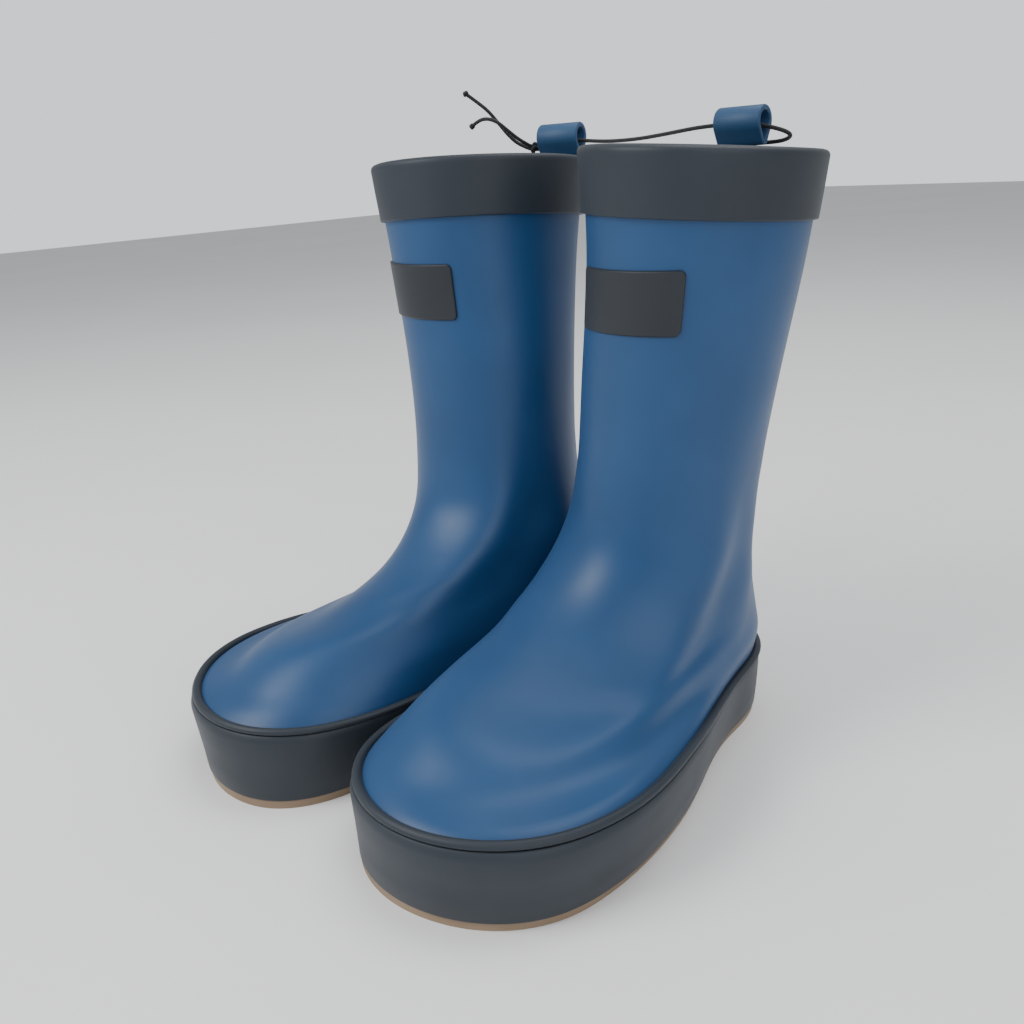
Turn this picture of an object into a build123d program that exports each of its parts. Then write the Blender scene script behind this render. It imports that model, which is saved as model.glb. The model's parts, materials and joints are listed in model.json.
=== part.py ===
"""A pair of children's rubber rain boots, tied together by a thin cord through their pull loops.

Frame: toes towards -Y, +Z up, the wearer's left boot at +X and the right boot at -X.
Millimetres. The boots stand on z = 0, and the origin is under the middle of the pair.
"""
from build123d import *
import math
import os

# ---- Overall sizes of one boot ------------------------------------------------------------
sole_length = 192.0        # heel to toe, over the foxing
boot_height = 220.0        # floor to the top edge at the front of the shaft
ball_width = 99.0          # widest place of the foot, over the foxing
heel_width = 68.0          # over the foxing
shaft_width = 76.0         # across the top edge, side to side

# ---- Layers, from outside to inside -------------------------------------------------------
foxing_height = 30.0       # top of the foxing at the toe
foxing_drop = 4.0          # how much lower the foxing is at the heel
foxing_thickness = 2.4
foxing_flare = 4.0         # how far the foxing leans out from the floor to its top
bead_height = 1.8
bead_thickness = 2.9
upper_thickness = 1.8
stiffener_thickness = 0.9  # heel counter and toe puff
lining_thickness = 1.3
glue_gap = 0.12            # between layers that are bonded face to face
counter_height = 74.0      # floor to the top of the heel counter
counter_front = 62.0       # its front edge on the floor, behind the sole's middle
counter_lean = 35.0        # degrees that its front edges lean
puff_length = 40.0         # toe puff, from the toe
puff_height = 46.0

# ---- Top edge, label and pull loop --------------------------------------------------------
cuff_height = 20.0
cuff_thickness = 1.7
cuff_lip = 1.4             # the part of the cuff that folds over the top edge
label_width = 46.0
label_height = 21.0
label_thickness = 0.8
label_drop = 37.0          # top edge of the shaft down to the top of the label
label_turn = 7.0           # degrees round the shaft, towards the inner side
loop_width = 18.0
loop_height = 16.0         # how far the pull loop stands above the top edge
loop_opening = 7.0         # front to back, at its widest
strap_thickness = 1.9
strap_gap = 0.5            # between the strap's tails and the lining
loop_tail = 24.0           # how far the strap's tails reach down inside the shaft
loop_shift = 6.0           # from the middle of the shaft's back, towards the inner side
right_loop_twist = 30.0    # degrees that the cord has pulled the right boot's loop round
loop_flex_gap = 0.5        # between the cuff, the strap's tails and the loop that bends on them

# ---- Sole ---------------------------------------------------------------------------------
outsole_thickness = 5.5    # tread included
tread_depth = 2.0
tread_bar = 6.0
tread_groove = 3.0
tread_rim = 7.0            # unbroken edge round the tread
welt_height = 3.2          # the strip of outsole that shows under the foxing
midsole_thickness = 5.0
footbed_thickness = 4.0
footbed_clearance = 1.8    # between the loose footbed and the lining

# ---- How the pair stands ------------------------------------------------------------------
pair_spacing = 93.0        # between the two sole centres
stagger = 6.5              # how far each boot stands behind or ahead of the middle
toe_out = 9.5              # degrees, each boot

# ---- Cord: routes chosen by hand, with the origin between the two sole centres --------------
cord_diameter = 1.5
knot_centre = (-53.0, 80.0, 222.4)
knot_radius = 2.3
end_knot_radius = 1.3
TIE_ROUTE = [
    (-51.4, 80.3, 222.7), (-45.5, 82.1, 223.6), (-33.5, 86.6, 224.0), (-20.0, 89.4, 222.6),
    (-5.0, 91.0, 222.6), (10.0, 92.6, 223.8), (22.0, 94.0, 225.0), (33.0, 95.9, 225.3),
    (44.0, 97.8, 224.8), (53.5, 100.4, 222.6), (56.5, 104.4, 220.2), (51.5, 106.9, 218.4),
    (44.0, 105.0, 218.1), (32.0, 102.9, 218.3), (17.0, 100.2, 216.4), (0.0, 97.6, 214.8),
    (-15.0, 95.2, 215.5), (-28.0, 93.6, 218.0), (-40.0, 92.2, 218.9), (-50.5, 88.5, 219.8),
    (-53.4, 81.2, 222.0),
]
LONG_TAIL_ROUTE = [
    (-54.4, 79.6, 221.9), (-58.7, 76.9, 223.8), (-61.8, 73.9, 227.8), (-64.5, 70.7, 233.2),
    (-66.7, 67.6, 238.0), (-69.4, 64.1, 241.7), (-72.0, 60.5, 245.1),
]
SHORT_TAIL_ROUTE = [
    (-53.2, 78.8, 222.9), (-54.1, 73.6, 225.4), (-55.7, 68.7, 229.4), (-58.1, 65.2, 233.2),
    (-62.0, 63.1, 234.9), (-66.5, 61.9, 234.4), (-70.4, 61.5, 232.4),
]

# Levels of the boot's surface from the floor to the top edge. Each level is a closed line round
# the boot that slopes from its front point to its back point. Lengths are shares: y of half the
# sole length, z of the boot height, and widths of half the ball width. "tip" and "end" say how
# full the line is at the toe and at the heel, "shift" how far the level leans outwards.
FOOT_LEVELS = [
    # front y, front z, back y, back z,  tip, fore, middle, rear,  end, shift
    (-0.86, 0.172, 1.00, 0.170, 1.10, 0.83, 0.78, 0.74, 1.03, -0.09),   # toe dome
    (-0.69, 0.211, 0.98, 0.212, 0.94, 0.70, 0.73, 0.71, 0.98, -0.05),   # vamp over the toes
    (-0.40, 0.238, 0.95, 0.260, 0.77, 0.65, 0.68, 0.69, 0.88, -0.04),   # vamp
    (-0.10, 0.296, 0.90, 0.318, 0.67, 0.64, 0.66, 0.67, 0.77, -0.01),   # instep
]
SHAFT_LEVELS = [
    # front y, front z, back y, back z, tip, fore, middle, rear, end, shift
    (0.08, 0.380, 0.87, 0.394, 0.63, 0.74, 0.66, 0.72, 0.71, 0.05),     # throat
    (0.14, 0.492, 0.87, 0.500, 0.69, 0.71, 0.69, 0.71, 0.69, 0.08),     # ankle
    (0.16, 0.646, 0.90, 0.650, 0.74, 0.74, 0.74, 0.74, 0.74, 0.15),     # calf
    (0.15, 0.836, 0.97, 0.828, 0.77, 0.77, 0.77, 0.77, 0.77, 0.25),     # under the cuff
]
rim_front = 0.12           # share of half the sole length
rim_back = 1.04
rim_drop = 5.0             # how much lower the top edge is at the back
rim_shift = 0.29           # share of half the ball width
toe_curve = 7.0            # how far the toe end bends inwards
arch_hollow = 2.8          # how far the inner side is drawn in at the arch
vamp_tilt = 0.35           # the vamp is higher on its inner side
rim_tilt = 0.06            # the top edge is higher on its inner side

RING_POINTS = 24
OVERRUN = 8.0              # how far a layer's raw body runs past the floor and past the top edge


def through(values, place):
    """Catmull-Rom curve through a list of numbers; place 0 is the first, 1 the second and so on."""
    last = len(values) - 1
    index = min(max(int(math.floor(place)), 0), last - 1)
    s = place - index
    before, start, end, after = (values[min(max(index + k, 0), last)] for k in (-1, 0, 1, 2))
    return 0.5 * (2 * start + (end - before) * s
                  + (2 * before - 5 * start + 4 * end - after) * s ** 2
                  + (3 * start - before - 3 * end + after) * s ** 3)


def levels():
    """All levels of the boot in millimetres, floor first."""
    wrap = glue_gap + foxing_thickness
    half_length = sole_length / 2 - wrap
    half_ball = ball_width / 2 - wrap
    half_heel = heel_width / 2 - wrap
    rows = []
    for height, lean in ((0.0, 1.0), (0.5, 0.35), (1.0, 0.0)):
        inset = foxing_flare * lean
        rows.append((-half_length + 0.3 * inset, foxing_height * height,
                     half_length - 0.7 * inset, (foxing_height - foxing_drop) * height,
                     1.43 * half_ball, 1.155 * (half_ball - inset), 0.90 * half_ball - inset,
                     1.155 * (half_heel - inset), 1.50 * half_heel, 0.0))
    for front_y, front_z, back_y, back_z, tip, fore, middle, rear, end, shift in FOOT_LEVELS:
        rows.append((front_y * half_length, front_z * boot_height, back_y * half_length,
                     back_z * boot_height, tip * half_ball, 1.155 * fore * half_ball,
                     middle * half_ball, 1.155 * rear * half_ball, end * half_ball, shift * half_ball))
    for front_y, front_z, back_y, back_z, tip, fore, middle, rear, end, shift in SHAFT_LEVELS:
        rows.append((front_y * half_length, front_z * boot_height, back_y * half_length,
                     back_z * boot_height, tip * half_ball, fore * half_ball,
                     middle * half_ball, rear * half_ball, end * half_ball, shift * half_ball))
    rim = shaft_width / 2
    rows.append((rim_front * half_length, boot_height, rim_back * half_length,
                 boot_height - rim_drop, rim, rim, rim, rim, rim, rim_shift * half_ball))
    return rows


LEVELS = levels()
TOP_LEVEL = len(LEVELS) - 1
FOXING_LEVEL = 2


def skin_point(angle, level):
    """A point on the left boot's surface. Angle 0 is the toe side, 90 degrees the outer side."""
    row = [through([entry[k] for entry in LEVELS], level) for k in range(10)]
    front_y, front_z, back_y, back_z = row[:4]
    forward = (1 + math.cos(angle)) / 2
    x = math.sin(angle) * through([row[8], row[7], row[6], row[5], row[4]], 4 * forward)
    y = back_y + (front_y - back_y) * forward
    z = back_z + (front_z - back_z) * forward
    over_vamp = min(max((z - 33) / 23, 0), 1) * min(max((120 - z) / 55, 0), 1)
    z -= vamp_tilt * x * over_vamp * forward
    foot = min(max(1 - level / 6, 0), 1)
    if x < 0:
        x += foot * arch_hollow * math.exp(-((forward - 0.45) / 0.17) ** 2)
    x -= foot * toe_curve * 4 * max(forward - 0.45, 0) ** 2
    shaft = min(max((level - 6) / 2, 0), 1)
    x += row[9] * (forward * (1 - shaft) + shaft)
    z -= rim_tilt * x * min(max((z - 0.5 * boot_height) / (0.5 * boot_height), 0), 1)
    return Vector(x, y, z)


def offset_point(angle, level, offset):
    """The surface point moved along the surface's normal, outwards for a positive offset."""
    step = 0.02
    around = skin_point(angle + step, level) - skin_point(angle - step, level)
    low, high = max(level - step, 0), min(level + step, TOP_LEVEL)
    upward = skin_point(angle, high) - skin_point(angle, low)
    normal = around.cross(upward).normalized()
    return skin_point(angle, level) + normal * offset


def ring(level, offset, height=None):
    """The closed line of a level, as a wire. A height flattens it at that z."""
    points = []
    for k in range(RING_POINTS):
        point = offset_point(2 * math.pi * k / RING_POINTS, level, offset)
        points.append(Vector(point.X, point.Y, point.Z if height is None else height))
    return Wire([Edge.make_spline(points, periodic=True)])


def layer(offset):
    """The solid inside the boot's surface moved by offset, from below the floor to above the rim."""
    overrun = OVERRUN - offset
    rings = [ring(0, offset, -overrun)]
    rings += [ring(level, offset) for level in range(TOP_LEVEL + 1)]
    rings.append(ring(TOP_LEVEL, offset, boot_height + overrun))
    return Solid.make_loft(rings)


# ---- Cutting regions ----------------------------------------------------------------------
BIG = 500.0
MIN, MID, MAX = Align.MIN, Align.CENTER, Align.MAX


def slab(low, high):
    """Everything between two heights."""
    return Pos(0, 0, low) * Box(BIG, BIG, high - low, align=(MID, MID, MIN))


def rim_slopes():
    """How much the top edge falls per millimetre outwards and backwards."""
    run = (rim_back - rim_front) * sole_length / 2
    return rim_tilt, rim_drop / run


def rim_height(x, y):
    """Height of the top edge's plane at a place."""
    fall_x, fall_y = rim_slopes()
    return boot_height - fall_x * x - fall_y * (y - rim_front * sole_length / 2)


def below_rim(drop):
    """Everything under the top edge's plane lowered by drop."""
    fall_x, fall_y = rim_slopes()
    plane = Plane(origin=(0, 0, rim_height(0, 0) - drop), z_dir=(fall_x, fall_y, 1))
    return plane * Box(BIG, BIG, BIG, align=(MID, MID, MAX))


def below_foxing_top(rise):
    """Everything under the foxing's top edge raised by rise."""
    slope = foxing_drop / sole_length
    plane = Plane(origin=(0, 0, foxing_height - foxing_drop / 2 + rise), z_dir=(0, slope, 1))
    return plane * Box(BIG, BIG, BIG, align=(MID, MID, MAX))


# ---- Offsets of the layers from the boot's surface ----------------------------------------
upper_inside = -upper_thickness
stiffener_outside = upper_inside - glue_gap
stiffener_inside = stiffener_outside - stiffener_thickness
lining_outside = stiffener_inside - glue_gap
lining_inside = lining_outside - lining_thickness
midsole_edge = lining_inside - glue_gap
tail_outside = lining_inside - strap_gap
tail_middle = tail_outside - strap_thickness
tail_inside = tail_middle - glue_gap - strap_thickness
footbed_edge = lining_inside - footbed_clearance
upper_floor = outsole_thickness + glue_gap
midsole_top = upper_floor + midsole_thickness
footbed_floor = midsole_top + 0.3

_layers = {}


def body(offset):
    """The layer's solid, made once for each offset."""
    if offset not in _layers:
        _layers[offset] = layer(offset)
    return _layers[offset]


def upper():
    """Blue rubber vamp and shaft, in one skin from the outsole to the top edge."""
    return (body(0.0) & slab(upper_floor, 2 * boot_height) & below_rim(0)) - body(upper_inside)


def lining():
    """Knitted textile that covers the inside of the rubber."""
    sock = body(lining_outside) & slab(upper_floor, 2 * boot_height) & below_rim(0)
    return sock - body(lining_inside)


def cuff():
    """Dark rubber band that wraps over the top edge."""
    band = (body(cuff_thickness) & below_rim(-cuff_lip)) - below_rim(cuff_height)
    covered = body(glue_gap) & below_rim(-glue_gap)
    return band - covered - body(lining_inside)


def foxing():
    """Dark rubber band round the foot, from the outsole's strip to the bead."""
    return (body(foxing_thickness) - body(glue_gap)) & slab(welt_height, BIG) & below_foxing_top(0)


def foxing_bead():
    """Thin raised strip on the foxing's top edge."""
    ring_wall = body(bead_thickness) - body(glue_gap)
    return (ring_wall & below_foxing_top(glue_gap + bead_height)) - below_foxing_top(glue_gap)


def outsole():
    """Gum rubber sole: a plate whose strip shows under the foxing, with a barred tread."""
    strip = body(foxing_thickness - 0.4) & slab(0, welt_height - glue_gap)
    seat = body(0.0) & slab(welt_height / 2, outsole_thickness)
    sole = strip + seat
    area = extrude(Face(ring(0, -tread_rim, 0)), tread_depth, dir=(0, 0, 1))
    pitch = tread_bar + tread_groove
    count = int(0.5 * sole_length / pitch)
    for k in range(-count, count + 1):
        bar = Pos(0, pitch * k, 0) * Box(BIG, tread_groove, 2 * tread_depth + 1)
        groove = area & bar
        if groove:
            sole -= groove
    return sole


def midsole():
    """Board and filler that the upper is lasted round."""
    return body(midsole_edge) & slab(upper_floor, midsole_top)


def footbed():
    """Loose insole on top of the midsole."""
    level = FOXING_LEVEL * footbed_floor / foxing_height
    return extrude(Face(ring(level, footbed_edge, footbed_floor)), footbed_thickness, dir=(0, 0, 1))


def stiffener():
    return body(stiffener_outside) - body(stiffener_inside)


def heel_counter():
    """Stiffener between the rubber and the lining, round the heel."""
    behind = Pos(0, counter_front, 0) * Rot(counter_lean, 0, 0) * Box(BIG, BIG, BIG, align=(MID, MIN, MID))
    return stiffener() & slab(upper_floor, counter_height) & behind


def toe_puff():
    """Stiffener between the rubber and the lining, over the toes."""
    front = Pos(0, puff_length - sole_length / 2, 0) * Box(BIG, BIG, BIG, align=(MID, MAX, MID))
    return stiffener() & slab(upper_floor, puff_height) & front


def label():
    """Blank rubber patch on the front of the shaft."""
    top = boot_height - label_drop
    centre_x = 0.2 * ball_width / 2
    skin = body(glue_gap + label_thickness) - body(glue_gap)
    window = Box(label_width, BIG, label_height, align=(MID, MAX, MAX))
    return skin & (Pos(centre_x, sole_length / 4, top) * Rot(0, 0, -label_turn) * window)


# Height of the last level's span at the back of the shaft.
TAIL_LEVEL_SPAN = LEVELS[TOP_LEVEL][3] - LEVELS[TOP_LEVEL - 1][3]


def loop_angle():
    """Where the strap is round the shaft."""
    return math.pi + math.asin(2 * loop_shift / shaft_width)


def loop_seat():
    """Where the strap stands: the middle of its two plies at the back of the top edge."""
    wall = offset_point(loop_angle(), TOP_LEVEL, tail_middle - glue_gap / 2)
    return wall.X, wall.Y


def loop_base():
    """Bottom of the free loop, above the cuff and above the tails' own top."""
    return rim_height(*loop_seat()) + cuff_lip + 2 * loop_flex_gap


def strap_section(level, height, outside, inside):
    """Outline of one strap ply across the back of the shaft, flattened at a height."""
    half_turn = math.asin(loop_width / shaft_width)
    lines = []
    for offset in (outside, inside):
        points = []
        for share in (-1.0, -0.5, 0.0, 0.5, 1.0):
            point = offset_point(loop_angle() + share * half_turn, level, offset)
            points.append(Vector(point.X, point.Y, height))
        lines.append(points)
    outer, inner = lines
    return Wire([Edge.make_spline(outer), Edge.make_line(outer[-1], inner[-1]),
                 Edge.make_spline(inner[::-1]), Edge.make_line(inner[0], outer[0])])


def strap_ply(outside, inside):
    """One ply of the strap on the inside of the shaft, from its lower end to the loop."""
    sections = []
    for share in (0.0, 0.33, 0.67, 1.0):
        level = TOP_LEVEL - (1 - share) * loop_tail / TAIL_LEVEL_SPAN
        height = offset_point(loop_angle(), level, outside).Z
        sections.append(strap_section(level, height, outside, inside))
    sections.append(strap_section(TOP_LEVEL, loop_base() - loop_flex_gap, outside, inside))
    return Solid.make_loft(sections)


def loop_tails():
    """The strap's two tails, bonded to the lining inside the back of the shaft."""
    return strap_ply(tail_outside, tail_middle) + strap_ply(tail_middle - glue_gap, tail_inside)


def pull_loop(twist=0.0):
    """The strap's free loop: a drop shape seen from the side, turned about its base by twist."""
    x, y = loop_seat()
    base = loop_base()
    outer_radius = loop_opening / 2 + strap_thickness
    inner_radius = loop_opening / 2
    top = rim_height(x, y) + loop_height
    centre = top - base - outer_radius
    foot = strap_thickness + glue_gap / 2
    outer = Polygon((-foot, 0), (foot, 0), (outer_radius, centre), (-outer_radius, centre), align=None)
    outer += Pos(0, centre) * Circle(outer_radius)
    inner = Polygon((0, 0.9 * strap_thickness), (inner_radius, centre), (-inner_radius, centre), align=None)
    inner += Pos(0, centre) * Circle(inner_radius)
    side = Plane(origin=(-loop_width / 2, 0, 0), x_dir=(0, 1, 0), z_dir=(1, 0, 0))
    return Pos(x, y, base) * Rot(0, 0, twist) * extrude(side * (outer - inner), loop_width)


# ---- The pair, with the origin between the two sole centres ---------------------------------
def place_left(shape):
    return Pos(pair_spacing / 2, stagger, 0) * Rot(0, 0, toe_out) * shape


def place_right(shape):
    return Pos(-pair_spacing / 2, -stagger, 0) * Rot(0, 0, -toe_out) * mirror(shape, about=Plane.YZ)


# ---- Cord ---------------------------------------------------------------------------------
def cord_tube(name, route):
    """A tube along straight runs joined by tangent arcs, with its tightest bend printed."""
    points = [Vector(*point) for point in route]
    radii = []
    for before, corner, after in zip(points, points[1:], points[2:]):
        incoming, outgoing = corner - before, after - corner
        turn = math.radians(incoming.get_angle(outgoing))
        radii.append(0.45 * min(incoming.length, outgoing.length) / math.tan(turn / 2))
    path = FilletPolyline(*points, radius=radii)
    start = Plane(origin=points[0], z_dir=points[1] - points[0])
    tube = sweep(start * Circle(cord_diameter / 2), path=path)
    expected = math.pi * (cord_diameter / 2) ** 2 * path.length
    print(f"{name}: length {path.length:.1f}, radii {min(radii):.1f} to {max(radii):.1f}, "
          f"volume {tube.volume:.1f}, section times length {expected:.1f}")
    return tube


def ball_at(centre, radius):
    return Pos(*centre) * Sphere(radius)


def cord_parts():
    """Tie cord, its knot and the two tails with their end knots."""
    end_knots = [ball_at(LONG_TAIL_ROUTE[-1], end_knot_radius), ball_at(SHORT_TAIL_ROUTE[-1], end_knot_radius)]
    return {
        "tie_cord": cord_tube("tie_cord", TIE_ROUTE),
        "tie_knot": ball_at(knot_centre, knot_radius),
        "long_cord_tail": cord_tube("long_cord_tail", LONG_TAIL_ROUTE),
        "short_cord_tail": cord_tube("short_cord_tail", SHORT_TAIL_ROUTE),
        "tail_end_knots": Compound(children=end_knots),
    }


BOOT_PARTS = {
    "upper": upper, "lining": lining, "cuff": cuff, "foxing": foxing, "foxing_bead": foxing_bead,
    "outsole": outsole, "midsole": midsole, "footbed": footbed, "heel_counter": heel_counter,
    "toe_puff": toe_puff, "label_patch": label, "loop_tails": loop_tails, "pull_loop": pull_loop,
}


def build():
    os.makedirs("parts", exist_ok=True)
    boots = {}
    for name, make in BOOT_PARTS.items():
        shape = make()
        boots[f"left_{name}"] = place_left(shape)
        boots[f"right_{name}"] = place_right(shape)
    boots["right_pull_loop"] = place_right(pull_loop(-right_loop_twist))
    outlines = [shape.bounding_box() for shape in boots.values()]
    middle = (min(box.min.Y for box in outlines) + max(box.max.Y for box in outlines)) / 2
    print(f"moved by {-middle:.3f} along Y, so that the origin is under the pair's middle")
    for name, shape in (boots | cord_parts()).items():
        export_step(Pos(0, -middle, 0) * shape, f"parts/{name}.step")


build()
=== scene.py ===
"""Looks for a pair of children's rubber rain boots tied together by a thin cord.

The row frame is in metres: toes towards -Y, +Z up, the wearer's left boot at +X. The boot's
surface is worked out in millimetres, as in the CAD, in the left boot's own frame.
"""

import json
import math

import bpy
import numpy as np
from mathutils import Matrix, Vector


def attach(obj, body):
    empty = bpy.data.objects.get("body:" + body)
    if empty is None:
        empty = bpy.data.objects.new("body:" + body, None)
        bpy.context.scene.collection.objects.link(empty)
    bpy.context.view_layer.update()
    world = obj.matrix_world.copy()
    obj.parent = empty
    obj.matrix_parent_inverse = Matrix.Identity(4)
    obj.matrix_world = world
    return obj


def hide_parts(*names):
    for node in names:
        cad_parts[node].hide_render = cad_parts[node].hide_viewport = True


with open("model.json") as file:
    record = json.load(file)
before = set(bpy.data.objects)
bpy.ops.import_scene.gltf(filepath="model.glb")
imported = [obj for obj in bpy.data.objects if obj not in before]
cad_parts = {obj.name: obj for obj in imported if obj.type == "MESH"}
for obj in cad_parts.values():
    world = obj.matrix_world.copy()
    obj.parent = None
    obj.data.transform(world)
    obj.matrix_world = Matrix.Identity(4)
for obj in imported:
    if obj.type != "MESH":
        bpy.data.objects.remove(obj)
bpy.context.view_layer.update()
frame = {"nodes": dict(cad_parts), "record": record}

# ---- Sizes shared with the CAD, in millimetres ----------------------------------------------
SOLE_LENGTH = 192.0
BOOT_HEIGHT = 220.0
BALL_WIDTH = 99.0
HEEL_WIDTH = 68.0
SHAFT_WIDTH = 76.0
FOXING_HEIGHT = 30.0
FOXING_DROP = 4.0
FOXING_FLARE = 4.0
FOXING_THICKNESS = 2.4
BEAD_HEIGHT = 1.8
BEAD_THICKNESS = 2.9
UPPER_THICKNESS = 1.8
GLUE_GAP = 0.12
LINING_INSIDE = -4.24
CUFF_HEIGHT = 20.0
CUFF_THICKNESS = 1.7
CUFF_LIP = 1.4
WELT_HEIGHT = 3.2
LABEL_WIDTH = 46.0
LABEL_HEIGHT = 21.0
LABEL_THICKNESS = 0.8
LABEL_DROP = 37.0
LABEL_ANGLE = math.radians(-7.0)
LOOP_WIDTH = 18.0
LOOP_OPENING = 7.0
STRAP_THICKNESS = 1.9
LOOP_SEAT = (8.877, 90.214)
LOOP_BASE = 217.42
LOOP_TOP = 231.0
RIGHT_LOOP_TWIST = 30.0
RIM_FRONT = 0.12
RIM_BACK = 1.04
RIM_DROP = 5.0
RIM_SHIFT = 0.29
TOE_CURVE = 7.0
ARCH_HOLLOW = 2.8
VAMP_TILT = 0.35
RIM_TILT = 0.06
PAIR_SPACING = 93.0
STAGGER = 6.5
TOE_OUT = 9.5
MIDDLE_Y = 1.686
CORD_DIAMETER = 1.5

FOOT_LEVELS = [
    (-0.86, 0.172, 1.00, 0.170, 1.10, 0.83, 0.78, 0.74, 1.03, -0.09),
    (-0.69, 0.211, 0.98, 0.212, 0.94, 0.70, 0.73, 0.71, 0.98, -0.05),
    (-0.40, 0.238, 0.95, 0.260, 0.77, 0.65, 0.68, 0.69, 0.88, -0.04),
    (-0.10, 0.296, 0.90, 0.318, 0.67, 0.64, 0.66, 0.67, 0.77, -0.01),
]
SHAFT_LEVELS = [
    (0.08, 0.380, 0.87, 0.394, 0.63, 0.74, 0.66, 0.72, 0.71, 0.05),
    (0.14, 0.492, 0.87, 0.500, 0.69, 0.71, 0.69, 0.71, 0.69, 0.08),
    (0.16, 0.646, 0.90, 0.650, 0.74, 0.74, 0.74, 0.74, 0.74, 0.15),
    (0.15, 0.836, 0.97, 0.828, 0.77, 0.77, 0.77, 0.77, 0.77, 0.25),
]

ROUND_POINTS = 192         # round the boot
SKIN_ROWS = 110            # from the foxing to the top edge


# ---- The boot's surface ---------------------------------------------------------------------
def boot_levels():
    wrap = GLUE_GAP + FOXING_THICKNESS
    half_length = SOLE_LENGTH / 2 - wrap
    half_ball = BALL_WIDTH / 2 - wrap
    half_heel = HEEL_WIDTH / 2 - wrap
    rows = []
    for height, lean in ((0.0, 1.0), (0.5, 0.35), (1.0, 0.0)):
        inset = FOXING_FLARE * lean
        rows.append((-half_length + 0.3 * inset, FOXING_HEIGHT * height,
                     half_length - 0.7 * inset, (FOXING_HEIGHT - FOXING_DROP) * height,
                     1.43 * half_ball, 1.155 * (half_ball - inset), 0.90 * half_ball - inset,
                     1.155 * (half_heel - inset), 1.50 * half_heel, 0.0))
    for index, level in enumerate(FOOT_LEVELS + SHAFT_LEVELS):
        front_y, front_z, back_y, back_z, tip, fore, middle, rear, end, shift = level
        full = 1.155 if index < len(FOOT_LEVELS) else 1.0
        rows.append((front_y * half_length, front_z * BOOT_HEIGHT, back_y * half_length,
                     back_z * BOOT_HEIGHT, tip * half_ball, full * fore * half_ball,
                     middle * half_ball, full * rear * half_ball, end * half_ball,
                     shift * half_ball))
    rim = SHAFT_WIDTH / 2
    rows.append((RIM_FRONT * half_length, BOOT_HEIGHT, RIM_BACK * half_length,
                 BOOT_HEIGHT - RIM_DROP, rim, rim, rim, rim, rim, RIM_SHIFT * half_ball))
    return np.array(rows)


LEVELS = boot_levels()
TOP_LEVEL = len(LEVELS) - 1


def catmull(before, start, end, after, s):
    return 0.5 * (2 * start + (end - before) * s + (2 * before - 5 * start + 4 * end - after) * s ** 2
                  + (3 * start - before - 3 * end + after) * s ** 3)


def skin(angle, level):
    """Points on the left boot's surface, in millimetres, for arrays of angle and level."""
    index = np.clip(np.floor(level).astype(int), 0, TOP_LEVEL - 1)
    share = (level - index)[..., None]
    row = catmull(*(LEVELS[np.clip(index + k, 0, TOP_LEVEL)] for k in (-1, 0, 1, 2)), share)
    forward = (1 + np.cos(angle)) / 2
    widths = row[..., [8, 7, 6, 5, 4]]
    place = 4 * forward
    station = np.clip(np.floor(place).astype(int), 0, 3)
    around = [np.take_along_axis(widths, np.clip(station + k, 0, 4)[..., None], -1)[..., 0]
              for k in (-1, 0, 1, 2)]
    x = np.sin(angle) * catmull(*around, place - station)
    y = row[..., 2] + (row[..., 0] - row[..., 2]) * forward
    z = row[..., 3] + (row[..., 1] - row[..., 3]) * forward
    over_vamp = np.clip((z - 33) / 23, 0, 1) * np.clip((120 - z) / 55, 0, 1)
    z = z - VAMP_TILT * x * over_vamp * forward
    foot = np.clip(1 - level / 6, 0, 1)
    x = x + np.where(x < 0, foot * ARCH_HOLLOW * np.exp(-((forward - 0.45) / 0.17) ** 2), 0)
    x = x - foot * TOE_CURVE * 4 * np.maximum(forward - 0.45, 0) ** 2
    shaft = np.clip((level - 6) / 2, 0, 1)
    x = x + row[..., 9] * (forward * (1 - shaft) + shaft)
    z = z - RIM_TILT * x * np.clip((z - 0.5 * BOOT_HEIGHT) / (0.5 * BOOT_HEIGHT), 0, 1)
    return np.stack([x, y, z], -1)


def skin_normal(angle, level):
    step = 0.02
    around = skin(angle + step, level) - skin(angle - step, level)
    upward = skin(angle, np.minimum(level + step, TOP_LEVEL)) - skin(angle, np.maximum(level - step, 0))
    normal = np.cross(around, upward)
    return normal / np.linalg.norm(normal, axis=-1, keepdims=True)


def skin_out(angle, level, offset):
    return skin(angle, level) + skin_normal(angle, level) * np.asarray(offset)[..., None]


def level_at(angle, height):
    """The level at which the surface has a height, one for each angle, and what is left above the top."""
    steps = np.linspace(0, TOP_LEVEL, 420)
    found = np.empty_like(angle)
    above = np.empty_like(angle)
    for k, (a, z) in enumerate(zip(angle, height)):
        column = skin(np.full_like(steps, a), steps)[:, 2]
        found[k] = np.interp(z, np.maximum.accumulate(column), steps)
        above[k] = max(z - column[-1], 0)
    return found, above


ANGLES = np.linspace(0, 2 * math.pi, ROUND_POINTS, endpoint=False)


def swept_profile(profile, heights):
    """Rows of points for a band. A profile entry is a rise and an offset from the boot's surface,
    and heights(rise) gives the height at each angle."""
    rows = []
    for entry in profile:
        level, above = level_at(ANGLES, heights(entry[0]))
        points = skin_out(ANGLES, level, np.full_like(ANGLES, entry[1]))
        points[:, 2] += above
        rows.append(points)
    return np.array(rows)


# ---- Placing and making meshes --------------------------------------------------------------
def to_row(points, side):
    """From the left boot's own millimetres to the row frame in metres, mirrored for the right boot."""
    turn = math.radians(TOE_OUT)
    mirror = 1
    if side == "right":
        mirror = -1
    x, y, z = points[..., 0] * mirror, points[..., 1], points[..., 2]
    turn *= mirror
    placed_x = x * math.cos(turn) - y * math.sin(turn) + mirror * PAIR_SPACING / 2
    placed_y = x * math.sin(turn) + y * math.cos(turn) + mirror * STAGGER - MIDDLE_Y
    return np.stack([placed_x, placed_y, z], -1) / 1000


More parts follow.
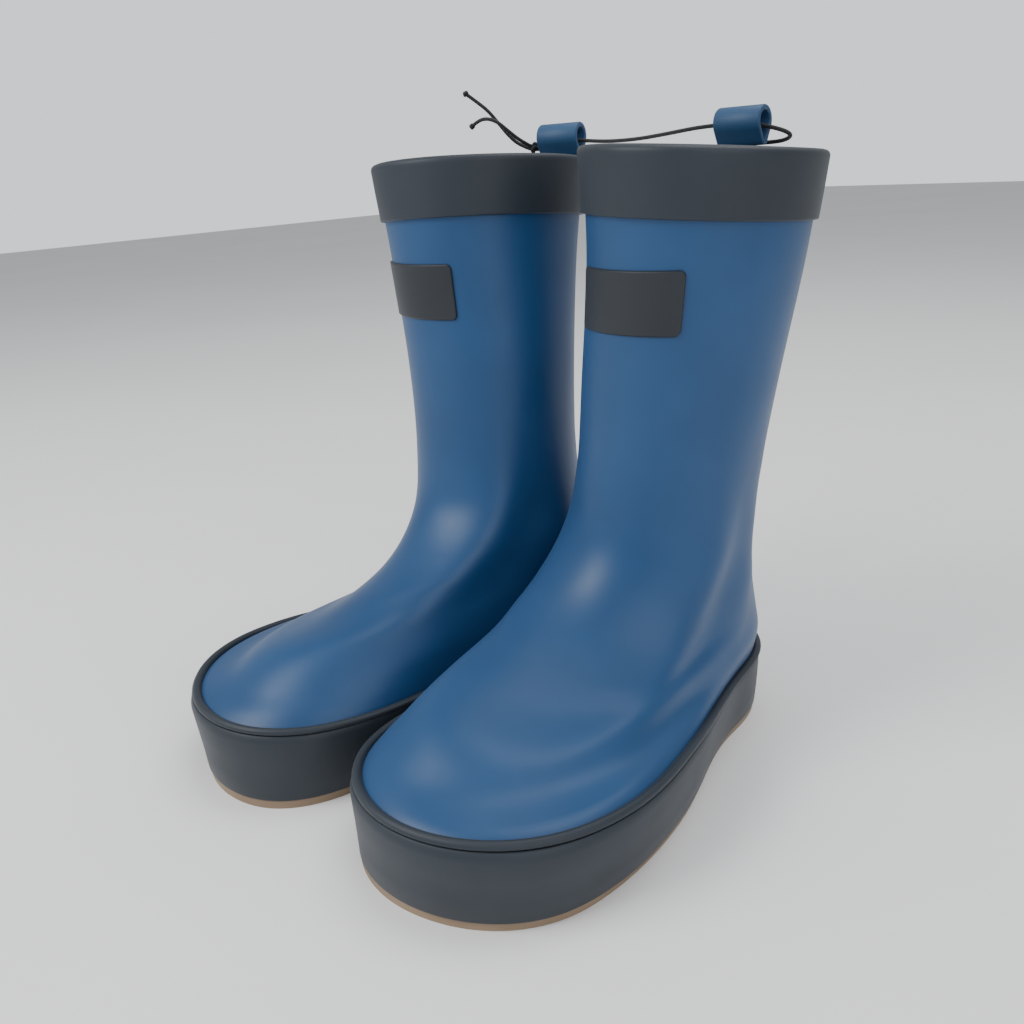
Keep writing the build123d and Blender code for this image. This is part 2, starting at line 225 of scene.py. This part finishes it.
def mesh_from_rows(name, rows, side, close_rows=True, close_round=True):
    """A smooth mesh from a grid of points; closed grids join their last row or column to the first."""
    count, width = rows.shape[:2]
    points = to_row(rows, side).reshape(-1, 3)
    faces = []
    for r in range(count if close_rows else count - 1):
        for c in range(width if close_round else width - 1):
            quad = (r * width + c, r * width + (c + 1) % width,
                    ((r + 1) % count) * width + (c + 1) % width, ((r + 1) % count) * width + c)
            faces.append(quad if side == "left" else quad[::-1])
    mesh = bpy.data.meshes.new(name)
    mesh.from_pydata(points.tolist(), [], faces)
    mesh.shade_smooth()
    obj = bpy.data.objects.new(name, mesh)
    bpy.context.collection.objects.link(obj)
    return obj


# ---- Materials ------------------------------------------------------------------------------
def node(tree, kind, **values):
    made = tree.nodes.new(kind)
    for key, value in values.items():
        if key in made.inputs:
            made.inputs[key].default_value = value
        else:
            setattr(made, key, value)
    return made


def ramp(tree, source, low, high, start=0.35, end=0.65):
    made = tree.nodes.new("ShaderNodeValToRGB")
    made.color_ramp.elements[0].position = start
    made.color_ramp.elements[0].color = (*low, 1)
    made.color_ramp.elements[1].position = end
    made.color_ramp.elements[1].color = (*high, 1)
    tree.links.new(source, made.inputs["Fac"])
    return made.outputs["Color"]


def scaled(tree, source, low, high):
    made = node(tree, "ShaderNodeMapRange")
    made.inputs["To Min"].default_value = low
    made.inputs["To Max"].default_value = high
    tree.links.new(source, made.inputs["Value"])
    return made.outputs["Result"]


def new_material(name):
    material = bpy.data.materials.new(name)
    material.use_nodes = True
    tree = material.node_tree
    shader = tree.nodes["Principled BSDF"]
    coordinates = tree.nodes.new("ShaderNodeTexCoord")
    return material, tree, shader, coordinates.outputs["Object"]


def noise(tree, where, scale, detail=4.0, roughness=0.55):
    made = node(tree, "ShaderNodeTexNoise", Scale=scale, Detail=detail, Roughness=roughness)
    tree.links.new(where, made.inputs["Vector"])
    return made.outputs["Fac"]


def bump(tree, shader, heights):
    """Chains bumps of (height, strength, distance in metres) into the shader's normal."""
    last = None
    for height, strength, distance in heights:
        made = node(tree, "ShaderNodeBump", Strength=strength, Distance=distance)
        tree.links.new(height, made.inputs["Height"])
        if last:
            tree.links.new(last, made.inputs["Normal"])
        last = made.outputs["Normal"]
    tree.links.new(last, shader.inputs["Normal"])


def rubber(name, low, high, rough_low, rough_high, grain=0.12, wave=0.08):
    """Moulded rubber: slow colour drift, fine grain, faint waviness and uneven sheen."""
    material, tree, shader, where = new_material(name)
    drift = noise(tree, where, 22.0, 3.0)
    tree.links.new(ramp(tree, drift, low, high), shader.inputs["Base Color"])
    smudge = noise(tree, where, 60.0, 5.0)
    tree.links.new(scaled(tree, smudge, rough_low, rough_high), shader.inputs["Roughness"])
    shader.inputs["Specular IOR Level"].default_value = 0.45
    shader.inputs["Coat Weight"].default_value = 0.06
    shader.inputs["Coat Roughness"].default_value = 0.35
    shader.inputs["Sheen Weight"].default_value = 0.05
    fine = noise(tree, where, 1400.0, 2.0)
    slow = noise(tree, where, 45.0, 2.0)
    bump(tree, shader, [(slow, wave, 0.0012), (fine, grain, 0.00012)])
    return material


def textile(name, low, high, pitch, depth=0.0003):
    """Knit or braid: crossed fine waves with a little fuzz."""
    material, tree, shader, where = new_material(name)
    waves = node(tree, "ShaderNodeTexWave", Scale=pitch, Distortion=0.6, Detail=1.0)
    waves.bands_direction = "DIAGONAL"
    tree.links.new(where, waves.inputs["Vector"])
    fuzz = noise(tree, where, 900.0, 3.0)
    mixed = node(tree, "ShaderNodeMath", operation="MULTIPLY")
    tree.links.new(waves.outputs["Fac"], mixed.inputs[0])
    tree.links.new(fuzz, mixed.inputs[1])
    tree.links.new(ramp(tree, mixed.outputs["Value"], low, high, 0.1, 0.6), shader.inputs["Base Color"])
    tree.links.new(scaled(tree, fuzz, 0.75, 0.95), shader.inputs["Roughness"])
    shader.inputs["Sheen Weight"].default_value = 0.25
    bump(tree, shader, [(waves.outputs["Fac"], 0.5, depth), (fuzz, 0.3, depth)])
    return material


MATERIALS = {
    "upper_rubber": rubber("upper_rubber", (0.003, 0.050, 0.150), (0.006, 0.060, 0.172), 0.40, 0.52),
    "trim_rubber": rubber("trim_rubber", (0.010, 0.017, 0.026), (0.015, 0.023, 0.034), 0.50, 0.64, 0.2),
    "label_rubber": rubber("label_rubber", (0.008, 0.012, 0.018), (0.012, 0.017, 0.024), 0.46, 0.58, 0.2),
    "gum_rubber": rubber("gum_rubber", (0.235, 0.165, 0.105), (0.300, 0.215, 0.140), 0.55, 0.75, 0.35),
    "lining_knit": textile("lining_knit", (0.030, 0.035, 0.048), (0.075, 0.085, 0.110), 500.0),
    "board": textile("board", (0.26, 0.21, 0.14), (0.36, 0.30, 0.20), 240.0),
    "footbed_foam": textile("footbed_foam", (0.035, 0.042, 0.055), (0.085, 0.095, 0.120), 420.0),
    "stiffener_sheet": rubber("stiffener_sheet", (0.04, 0.04, 0.045), (0.06, 0.06, 0.065), 0.6, 0.8),
    "loop_webbing": rubber("loop_webbing", (0.010, 0.055, 0.135), (0.016, 0.070, 0.165), 0.5, 0.65, 0.4),
    "cord_black": textile("cord_black", (0.006, 0.007, 0.009), (0.024, 0.026, 0.031), 900.0, 0.0002),
}


def dress(obj, slot, body=None, *nodes):
    """Gives a piece the material of its slot, attaches it to its body and hides the CAD nodes it stands
    for.
    """
    obj.data.materials.clear()
    obj.data.materials.append(MATERIALS[slot])
    if body:
        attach(obj, body)
        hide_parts(*nodes)
    return obj


# ---- Pieces of one boot -----------------------------------------------------------------------
def foxing_top(points_y):
    return FOXING_HEIGHT - FOXING_DROP * (points_y / SOLE_LENGTH + 0.5)


def upper_rows():
    """Outer skin upwards and inner skin back down, as one closed band."""
    outer = [skin_out(ANGLES, np.full_like(ANGLES, level), np.zeros_like(ANGLES))
             for level in np.linspace(0.8, TOP_LEVEL, SKIN_ROWS)]
    inner = [skin_out(ANGLES, np.full_like(ANGLES, level), np.full_like(ANGLES, -UPPER_THICKNESS))
             for level in np.linspace(TOP_LEVEL, 0.8, SKIN_ROWS // 3)]
    return np.array(outer + inner)


def rim_heights():
    return skin(ANGLES, np.full_like(ANGLES, float(TOP_LEVEL)))[:, 2]


def cuff_rows():
    """The dark band: a crisp lower edge, a rounded lip over the top edge and a short inner face."""
    full = CUFF_THICKNESS
    low = CUFF_HEIGHT
    profile = [(-low, GLUE_GAP), (-low, 0.7 * full), (-low + 0.12, 0.92 * full), (-low + 0.45, full),
               (-low + 0.9, full), (-0.5 * low, full + 0.05), (-1.2, full), (-0.2, full - 0.05),
               (0.6, 0.8 * full), (1.15, 0.4 * full), (CUFF_LIP, -0.4), (CUFF_LIP, -1.6),
               (CUFF_LIP - 0.05, -2.8), (1.05, -3.6), (0.6, -4.05), (0.13, LINING_INSIDE),
               (0.12, LINING_INSIDE + 0.3), (0.12, 0.0), (0.0, GLUE_GAP), (-0.5 * low, GLUE_GAP)]
    rim = rim_heights()
    return swept_profile(profile, lambda rise: rim + rise)


def foxing_rows():
    front_to_back = skin(ANGLES, np.full_like(ANGLES, 2.0))[:, 1]
    top = foxing_top(front_to_back)
    full = FOXING_THICKNESS
    profile = [(0.0, GLUE_GAP), (0.0, 0.85 * full), (0.02, full), (0.3, full + 0.02), (0.6, full + 0.02),
               (0.9, full + 0.02), (0.985, full), (1.0, 0.85 * full), (1.0, GLUE_GAP), (0.5, GLUE_GAP)]
    return swept_profile(profile, lambda share: WELT_HEIGHT + (top - 0.05 - WELT_HEIGHT) * share)


def bead_rows():
    """The strip on the foxing's top edge, rounded outside."""
    front_to_back = skin(ANGLES, np.full_like(ANGLES, 2.0))[:, 1]
    top = foxing_top(front_to_back)
    full = BEAD_THICKNESS
    profile = [(0.0, GLUE_GAP), (0.0, 0.85 * full), (0.13, 0.98 * full), (0.43, 1.02 * full),
               (0.71, 0.96 * full), (0.91, 0.8 * full), (0.99, 0.5 * full), (1.0, GLUE_GAP)]
    return swept_profile(profile, lambda share: top + GLUE_GAP + BEAD_HEIGHT * share)


def label_rows():
    """A thin patch with rounded corners and softened edges, lying on the shaft."""
    across, down = 60, 34
    corner = 2.2
    half_w, half_h = LABEL_WIDTH / 2, LABEL_HEIGHT / 2
    middle_z = BOOT_HEIGHT - LABEL_DROP - half_h
    shares_w = np.sin(np.linspace(-math.pi / 2, math.pi / 2, across))
    shares_h = np.sin(np.linspace(-math.pi / 2, math.pi / 2, down))
    radius = SHAFT_WIDTH / 2 - 0.5
    rows = []
    for share_h in shares_h:
        v = share_h * half_h
        past = max(abs(v) - (half_h - corner), 0)
        reach = half_w - corner + math.sqrt(max(corner ** 2 - past ** 2, 0))
        u = shares_w * reach
        from_edge = np.minimum(reach - np.abs(u), half_h - abs(v))
        rise = LABEL_THICKNESS * np.clip(from_edge / 0.35, 0, 1) ** 0.5 - 0.1 * (from_edge < 0.001)
        angle = LABEL_ANGLE + u / radius
        level = level_at(angle, np.full_like(angle, middle_z + v))[0]
        rows.append(skin_out(angle, level, GLUE_GAP + rise))
    return np.array(rows)


def loop_rows(twist):
    """The free loop of the folded strap: a rounded strip swept round a drop shape."""
    radius = LOOP_OPENING / 2 + STRAP_THICKNESS / 2
    centre = LOOP_TOP - STRAP_THICKNESS / 2 - radius - LOOP_BASE
    low = STRAP_THICKNESS / 2 + 0.1
    line = []
    for k in range(25):
        turn = math.radians(-35 + 250 * k / 24)
        line.append((radius * math.cos(turn), centre + radius * math.sin(turn)))
    first = line[0]
    leg = [(first[0] * s + low * 0.95 * (1 - s), first[1] * s + low * (1 - s))
           for s in (0.0, 0.25, 0.5, 0.75)]
    back = [(-y, z) for y, z in leg[::-1]]
    foot = [(-low * 0.5, low * 0.55), (0.0, low * 0.42), (low * 0.5, low * 0.55)]
    line = leg + line + back + foot
    half_w, half_t = LOOP_WIDTH / 2, STRAP_THICKNESS / 2
    corner = [(half_w - 0.5, half_t), (half_w - 0.12, 0.75 * half_t), (half_w, 0.3 * half_t)]
    right_edge = corner + [(x, -out) for x, out in corner[::-1]]
    left_edge = [(-x, -out) for x, out in right_edge]
    outline = [(0.0, half_t)] + right_edge + [(0.0, -half_t)] + left_edge
    turn = math.radians(twist)
    rows = []
    for k, (y, z) in enumerate(line):
        before, after = line[k - 1], line[(k + 1) % len(line)]
        along = Vector((after[0] - before[0], after[1] - before[1])).normalized()
        row = []
        for x, out in outline:
            depth = y + along.y * out
            row.append((LOOP_SEAT[0] + x * math.cos(turn) - depth * math.sin(turn),
                        LOOP_SEAT[1] + x * math.sin(turn) + depth * math.cos(turn),
                        LOOP_BASE + max(z - along.x * out, 0.02)))
        rows.append(row)
    return np.array(rows)


def make_boot(side):
    """The visible skins of one boot, each in place of its CAD node."""
    body = f"{side}_boot"
    dress(mesh_from_rows(f"{side}_upper_skin", upper_rows(), side), "upper_rubber", body, f"{side}_upper")
    dress(mesh_from_rows(f"{side}_cuff_band", cuff_rows(), side), "trim_rubber", body, f"{side}_cuff")
    dress(mesh_from_rows(f"{side}_foxing_band", foxing_rows(), side), "trim_rubber", body, f"{side}_foxing")
    dress(mesh_from_rows(f"{side}_bead_strip", bead_rows(), side), "trim_rubber", body,
          f"{side}_foxing_bead")
    dress(mesh_from_rows(f"{side}_label", label_rows(), side, False, False), "label_rubber", body,
          f"{side}_label_patch")
    twist = 0.0 if side == "left" else -RIGHT_LOOP_TWIST
    dress(mesh_from_rows(f"{side}_strap_loop", loop_rows(twist), side), "loop_webbing", f"{side}_loop",
          f"{side}_pull_loop")


# ---- Cords -----------------------------------------------------------------------------------
TIE_ROUTE = [
    (-0.0514, 0.0803, 0.2227), (-0.0455, 0.0821, 0.2236), (-0.0335, 0.0866, 0.2240),
    (-0.0200, 0.0894, 0.2226), (-0.0050, 0.0910, 0.2226), (0.0100, 0.0926, 0.2238),
    (0.0220, 0.0940, 0.2250), (0.0330, 0.0959, 0.2253), (0.0440, 0.0978, 0.2248),
    (0.0535, 0.1004, 0.2226), (0.0565, 0.1044, 0.2202), (0.0515, 0.1069, 0.2184),
    (0.0440, 0.1050, 0.2181), (0.0320, 0.1029, 0.2183), (0.0170, 0.1002, 0.2164),
    (0.0000, 0.0976, 0.2148), (-0.0150, 0.0952, 0.2155), (-0.0280, 0.0936, 0.2180),
    (-0.0400, 0.0922, 0.2189), (-0.0505, 0.0885, 0.2198), (-0.0534, 0.0812, 0.2220),
]
LONG_TAIL_ROUTE = [
    (-0.0544, 0.0796, 0.2219), (-0.0587, 0.0769, 0.2238), (-0.0618, 0.0739, 0.2278),
    (-0.0645, 0.0707, 0.2332), (-0.0667, 0.0676, 0.2380), (-0.0694, 0.0641, 0.2417),
    (-0.0720, 0.0605, 0.2451),
]
SHORT_TAIL_ROUTE = [
    (-0.0532, 0.0788, 0.2229), (-0.0541, 0.0736, 0.2254), (-0.0557, 0.0687, 0.2294),
    (-0.0581, 0.0652, 0.2332), (-0.0620, 0.0631, 0.2349), (-0.0665, 0.0619, 0.2344),
    (-0.0704, 0.0615, 0.2324),
]
KNOT_CENTRE = Vector((-0.0530, 0.0800, 0.2224))


def in_row(point):
    return Vector((point[0], point[1] - MIDDLE_Y / 1000, point[2]))


def cord_curve(name, route):
    """A round cord along the route, as a NURBS line through smooth bends."""
    curve = bpy.data.curves.new(name, "CURVE")
    curve.dimensions = "3D"
    curve.bevel_depth = CORD_DIAMETER / 2000
    curve.bevel_resolution = 4
    curve.resolution_u = 10
    curve.use_fill_caps = True
    spline = curve.splines.new("NURBS")
    spline.points.add(len(route) - 1)
    for point, place in zip(spline.points, route):
        point.co = (*in_row(place), 1)
    spline.order_u = 3
    spline.use_endpoint_u = True
    obj = bpy.data.objects.new(name, curve)
    bpy.context.collection.objects.link(obj)
    return obj


def knot_mesh(name, centre, size, tilt, *nodes):
    """A pulled-tight overhand knot of the same cord."""
    curve = bpy.data.curves.new(name + "_line", "CURVE")
    curve.dimensions = "3D"
    curve.bevel_depth = CORD_DIAMETER / 2000
    curve.bevel_resolution = 3
    spline = curve.splines.new("POLY")
    steps = 72
    spline.points.add(steps - 1)
    for k, point in enumerate(spline.points):
        t = 2 * math.pi * k / steps
        x = size * (math.sin(t) + 2 * math.sin(2 * t)) / 3
        y = size * (math.cos(t) - 2 * math.cos(2 * t)) / 3
        z = -size * 0.55 * math.sin(3 * t)
        point.co = (x, y, z, 1)
    spline.use_cyclic_u = True
    holder = bpy.data.objects.new(name + "_line", curve)
    bpy.context.collection.objects.link(holder)
    bpy.context.view_layer.update()
    graph = bpy.context.evaluated_depsgraph_get()
    mesh = bpy.data.meshes.new_from_object(holder.evaluated_get(graph))
    bpy.data.objects.remove(holder)
    mesh.transform(Matrix.Translation(in_row(centre)) @ Matrix.Rotation(math.radians(tilt), 4, "X"))
    mesh.shade_smooth()
    obj = bpy.data.objects.new(name, mesh)
    bpy.context.collection.objects.link(obj)
    return dress(obj, "cord_black", "right_boot", *nodes)


def make_cords():
    """The tie cord and its two tails, with their knots."""
    knot = knot_mesh("tie_knot_turns", KNOT_CENTRE, 0.0018, 60, "tie_knot")
    ends = [knot_mesh("long_tail_knot", LONG_TAIL_ROUTE[-1], 0.0006, 35, "tail_end_knots"),
            knot_mesh("short_tail_knot", SHORT_TAIL_ROUTE[-1], 0.0006, 80)]
    tie = dress(cord_curve("tie_cord_line", TIE_ROUTE), "cord_black", "right_boot", "tie_cord")
    long_tail = dress(cord_curve("long_tail_line", LONG_TAIL_ROUTE), "cord_black", "right_boot",
                      "long_cord_tail")
    short_tail = dress(cord_curve("short_tail_line", SHORT_TAIL_ROUTE), "cord_black", "right_boot",
                       "short_cord_tail")


# ---- Studio ------------------------------------------------------------------------------------
CAMERA_ANGLES = (51.8, 19.7, -4.0)      # azimuth, elevation and roll, in degrees
CAMERA_PLACE = (0.276, -0.213, 0.219)
CAMERA_LENS = 34.6
CAMERA_SHIFT = 0.013


def make_stage():
    """Pale seamless floor, soft light from the left, a weak fill, and the camera."""
    mesh = bpy.data.meshes.new("studio_floor")
    half = 4.0
    mesh.from_pydata([(-half, -half, 0), (half, -half, 0), (half, half, 0), (-half, half, 0)], [],
                     [(0, 1, 2, 3)])
    floor = bpy.data.objects.new("studio_floor", mesh)
    bpy.context.collection.objects.link(floor)
    material, tree, shader, where = new_material("studio_paper")
    tree.links.new(ramp(tree, noise(tree, where, 3.0), (0.88, 0.88, 0.88), (0.91, 0.91, 0.91)),
                   shader.inputs["Base Color"])
    shader.inputs["Roughness"].default_value = 0.9
    floor.data.materials.append(material)
    for name, place, size, power in (("key", (-0.35, -0.95, 0.95), 0.7, 12.0),
                                     ("fill", (1.1, -0.3, 0.7), 0.9, 5.0),
                                     ("top", (0.1, 0.4, 1.3), 0.9, 9.0)):
        light = bpy.data.lights.new(name, "AREA")
        light.energy = power
        light.size = size
        obj = bpy.data.objects.new(name, light)
        obj.location = place
        obj.rotation_euler = (Vector((0, 0, 0.1)) - obj.location).to_track_quat("-Z", "Y").to_euler()
        bpy.context.collection.objects.link(obj)
    world = bpy.data.worlds.new("studio_world")
    bpy.context.scene.world = world
    world.use_nodes = True
    tree = world.node_tree
    background = tree.nodes["Background"]
    background.inputs["Color"].default_value = (0.94, 0.96, 1.0, 1)
    path = tree.nodes.new("ShaderNodeLightPath")
    seen = scaled(tree, path.outputs["Is Camera Ray"], 0.5, 1.15)
    tree.links.new(seen, background.inputs["Strength"])
    camera = make_camera()


def make_camera():
    """The main view, with its place, angles and lens set above."""
    azimuth, elevation, roll = (math.radians(a) for a in CAMERA_ANGLES)
    forward = Vector((-math.sin(azimuth) * math.cos(elevation), math.cos(azimuth) * math.cos(elevation),
                      -math.sin(elevation)))
    right = Vector((math.cos(azimuth), math.sin(azimuth), 0))
    up = right.cross(forward)
    turned_right = right * math.cos(roll) + up * math.sin(roll)
    turned_up = up * math.cos(roll) - right * math.sin(roll)
    data = bpy.data.cameras.new("camera")
    data.sensor_width = 36.0
    data.lens = CAMERA_LENS
    data.shift_x = CAMERA_SHIFT
    camera = bpy.data.objects.new("camera", data)
    matrix = Matrix((turned_right, turned_up, -forward)).transposed().to_4x4()
    matrix.translation = CAMERA_PLACE
    camera.matrix_world = matrix
    bpy.context.collection.objects.link(camera)
    bpy.context.scene.camera = camera
    return camera


slots = {entry["node"]: entry["material_slot"] for entry in frame["record"]["subparts"]}
for plain_name, plain_node in frame["nodes"].items():
    dress(plain_node, slots[plain_name])
for boot_side in ("left", "right"):
    make_boot(boot_side)
make_cords()
make_stage()
